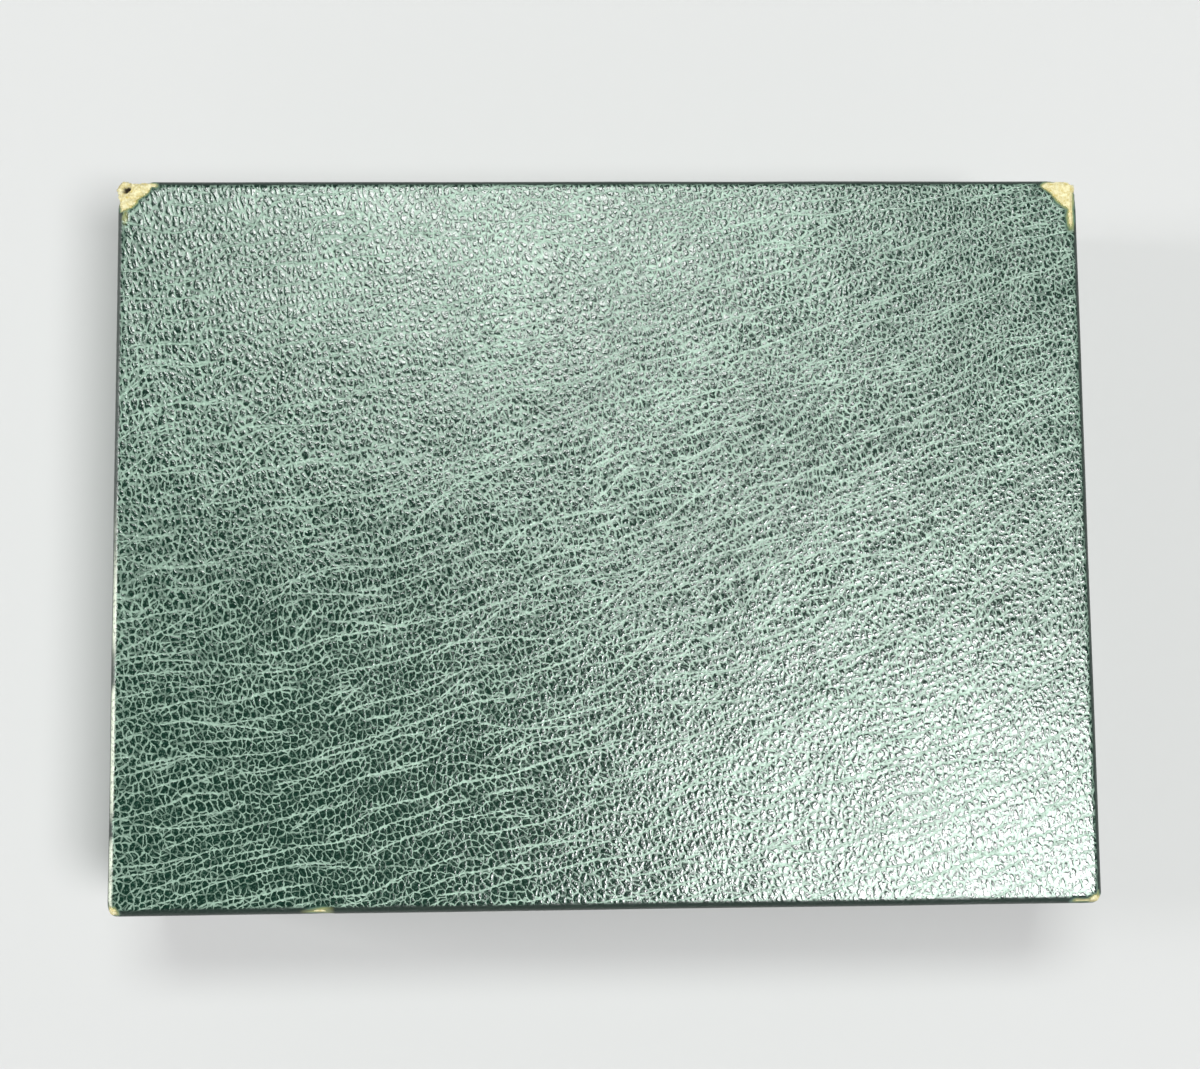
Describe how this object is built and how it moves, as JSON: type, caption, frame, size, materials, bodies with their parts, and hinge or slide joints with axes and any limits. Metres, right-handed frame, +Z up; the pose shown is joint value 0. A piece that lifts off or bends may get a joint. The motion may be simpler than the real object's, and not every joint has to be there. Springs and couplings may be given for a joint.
{
  "type": "card deck box",
  "caption": "Flat rectangular hinged box covered in green grained leatherette, with an inner shoulder, two lined wells for decks of cards and a padded lid.",
  "frame": {"origin": "under the middle of the shut box, on the surface that it stands on", "axes": "+X along the long side and the hinge, -Y towards the front that opens, +Y towards the hinge, +Z up"},
  "size_m": [0.132, 0.0993, 0.031],
  "materials": {
    "leatherette": "satin",
    "strawboard": "matte",
    "liner_paper": "matte",
    "shoulder_paper": "satin",
    "lid_paper": "matte",
    "velvet": "matte",
    "pad_satin": "satin",
    "ribbon_satin": "satin"
  },
  "bodies": {
    "base": {"bottom_liner": "liner_paper", "base_floor_board": "strawboard", "base_front_board": "strawboard", "base_back_board": "strawboard", "base_left_board": "strawboard", "base_right_board": "strawboard", "base_wrap": "leatherette", "neck_front_board": "strawboard", "neck_back_board": "strawboard", "neck_left_board": "strawboard", "neck_right_board": "strawboard", "neck_facing": "shoulder_paper", "center_divider": "strawboard", "divider_cap": "shoulder_paper", "left_well_lining": "velvet", "right_well_lining": "velvet", "left_well_pad": "velvet", "right_well_pad": "velvet", "left_lift_ribbon": "ribbon_satin", "right_lift_ribbon": "ribbon_satin", "hinge_strip": "leatherette"},
    "lid": {"lid_top_board": "strawboard", "lid_front_board": "strawboard", "lid_back_board": "strawboard", "lid_left_board": "strawboard", "lid_right_board": "strawboard", "lid_wrap": "leatherette", "lid_side_lining": "lid_paper", "lid_pad_board": "strawboard", "lid_pad": "pad_satin"}
  },
  "joints": [
    {"name": "lid_hinge", "type": "hinge", "parent": "base", "child": "lid", "pos_m": [0, 0.04995, 0.0155], "axis": [-1, 0, 0], "range_deg": [0, 180], "deforming": ["hinge_strip"]}
  ]
}
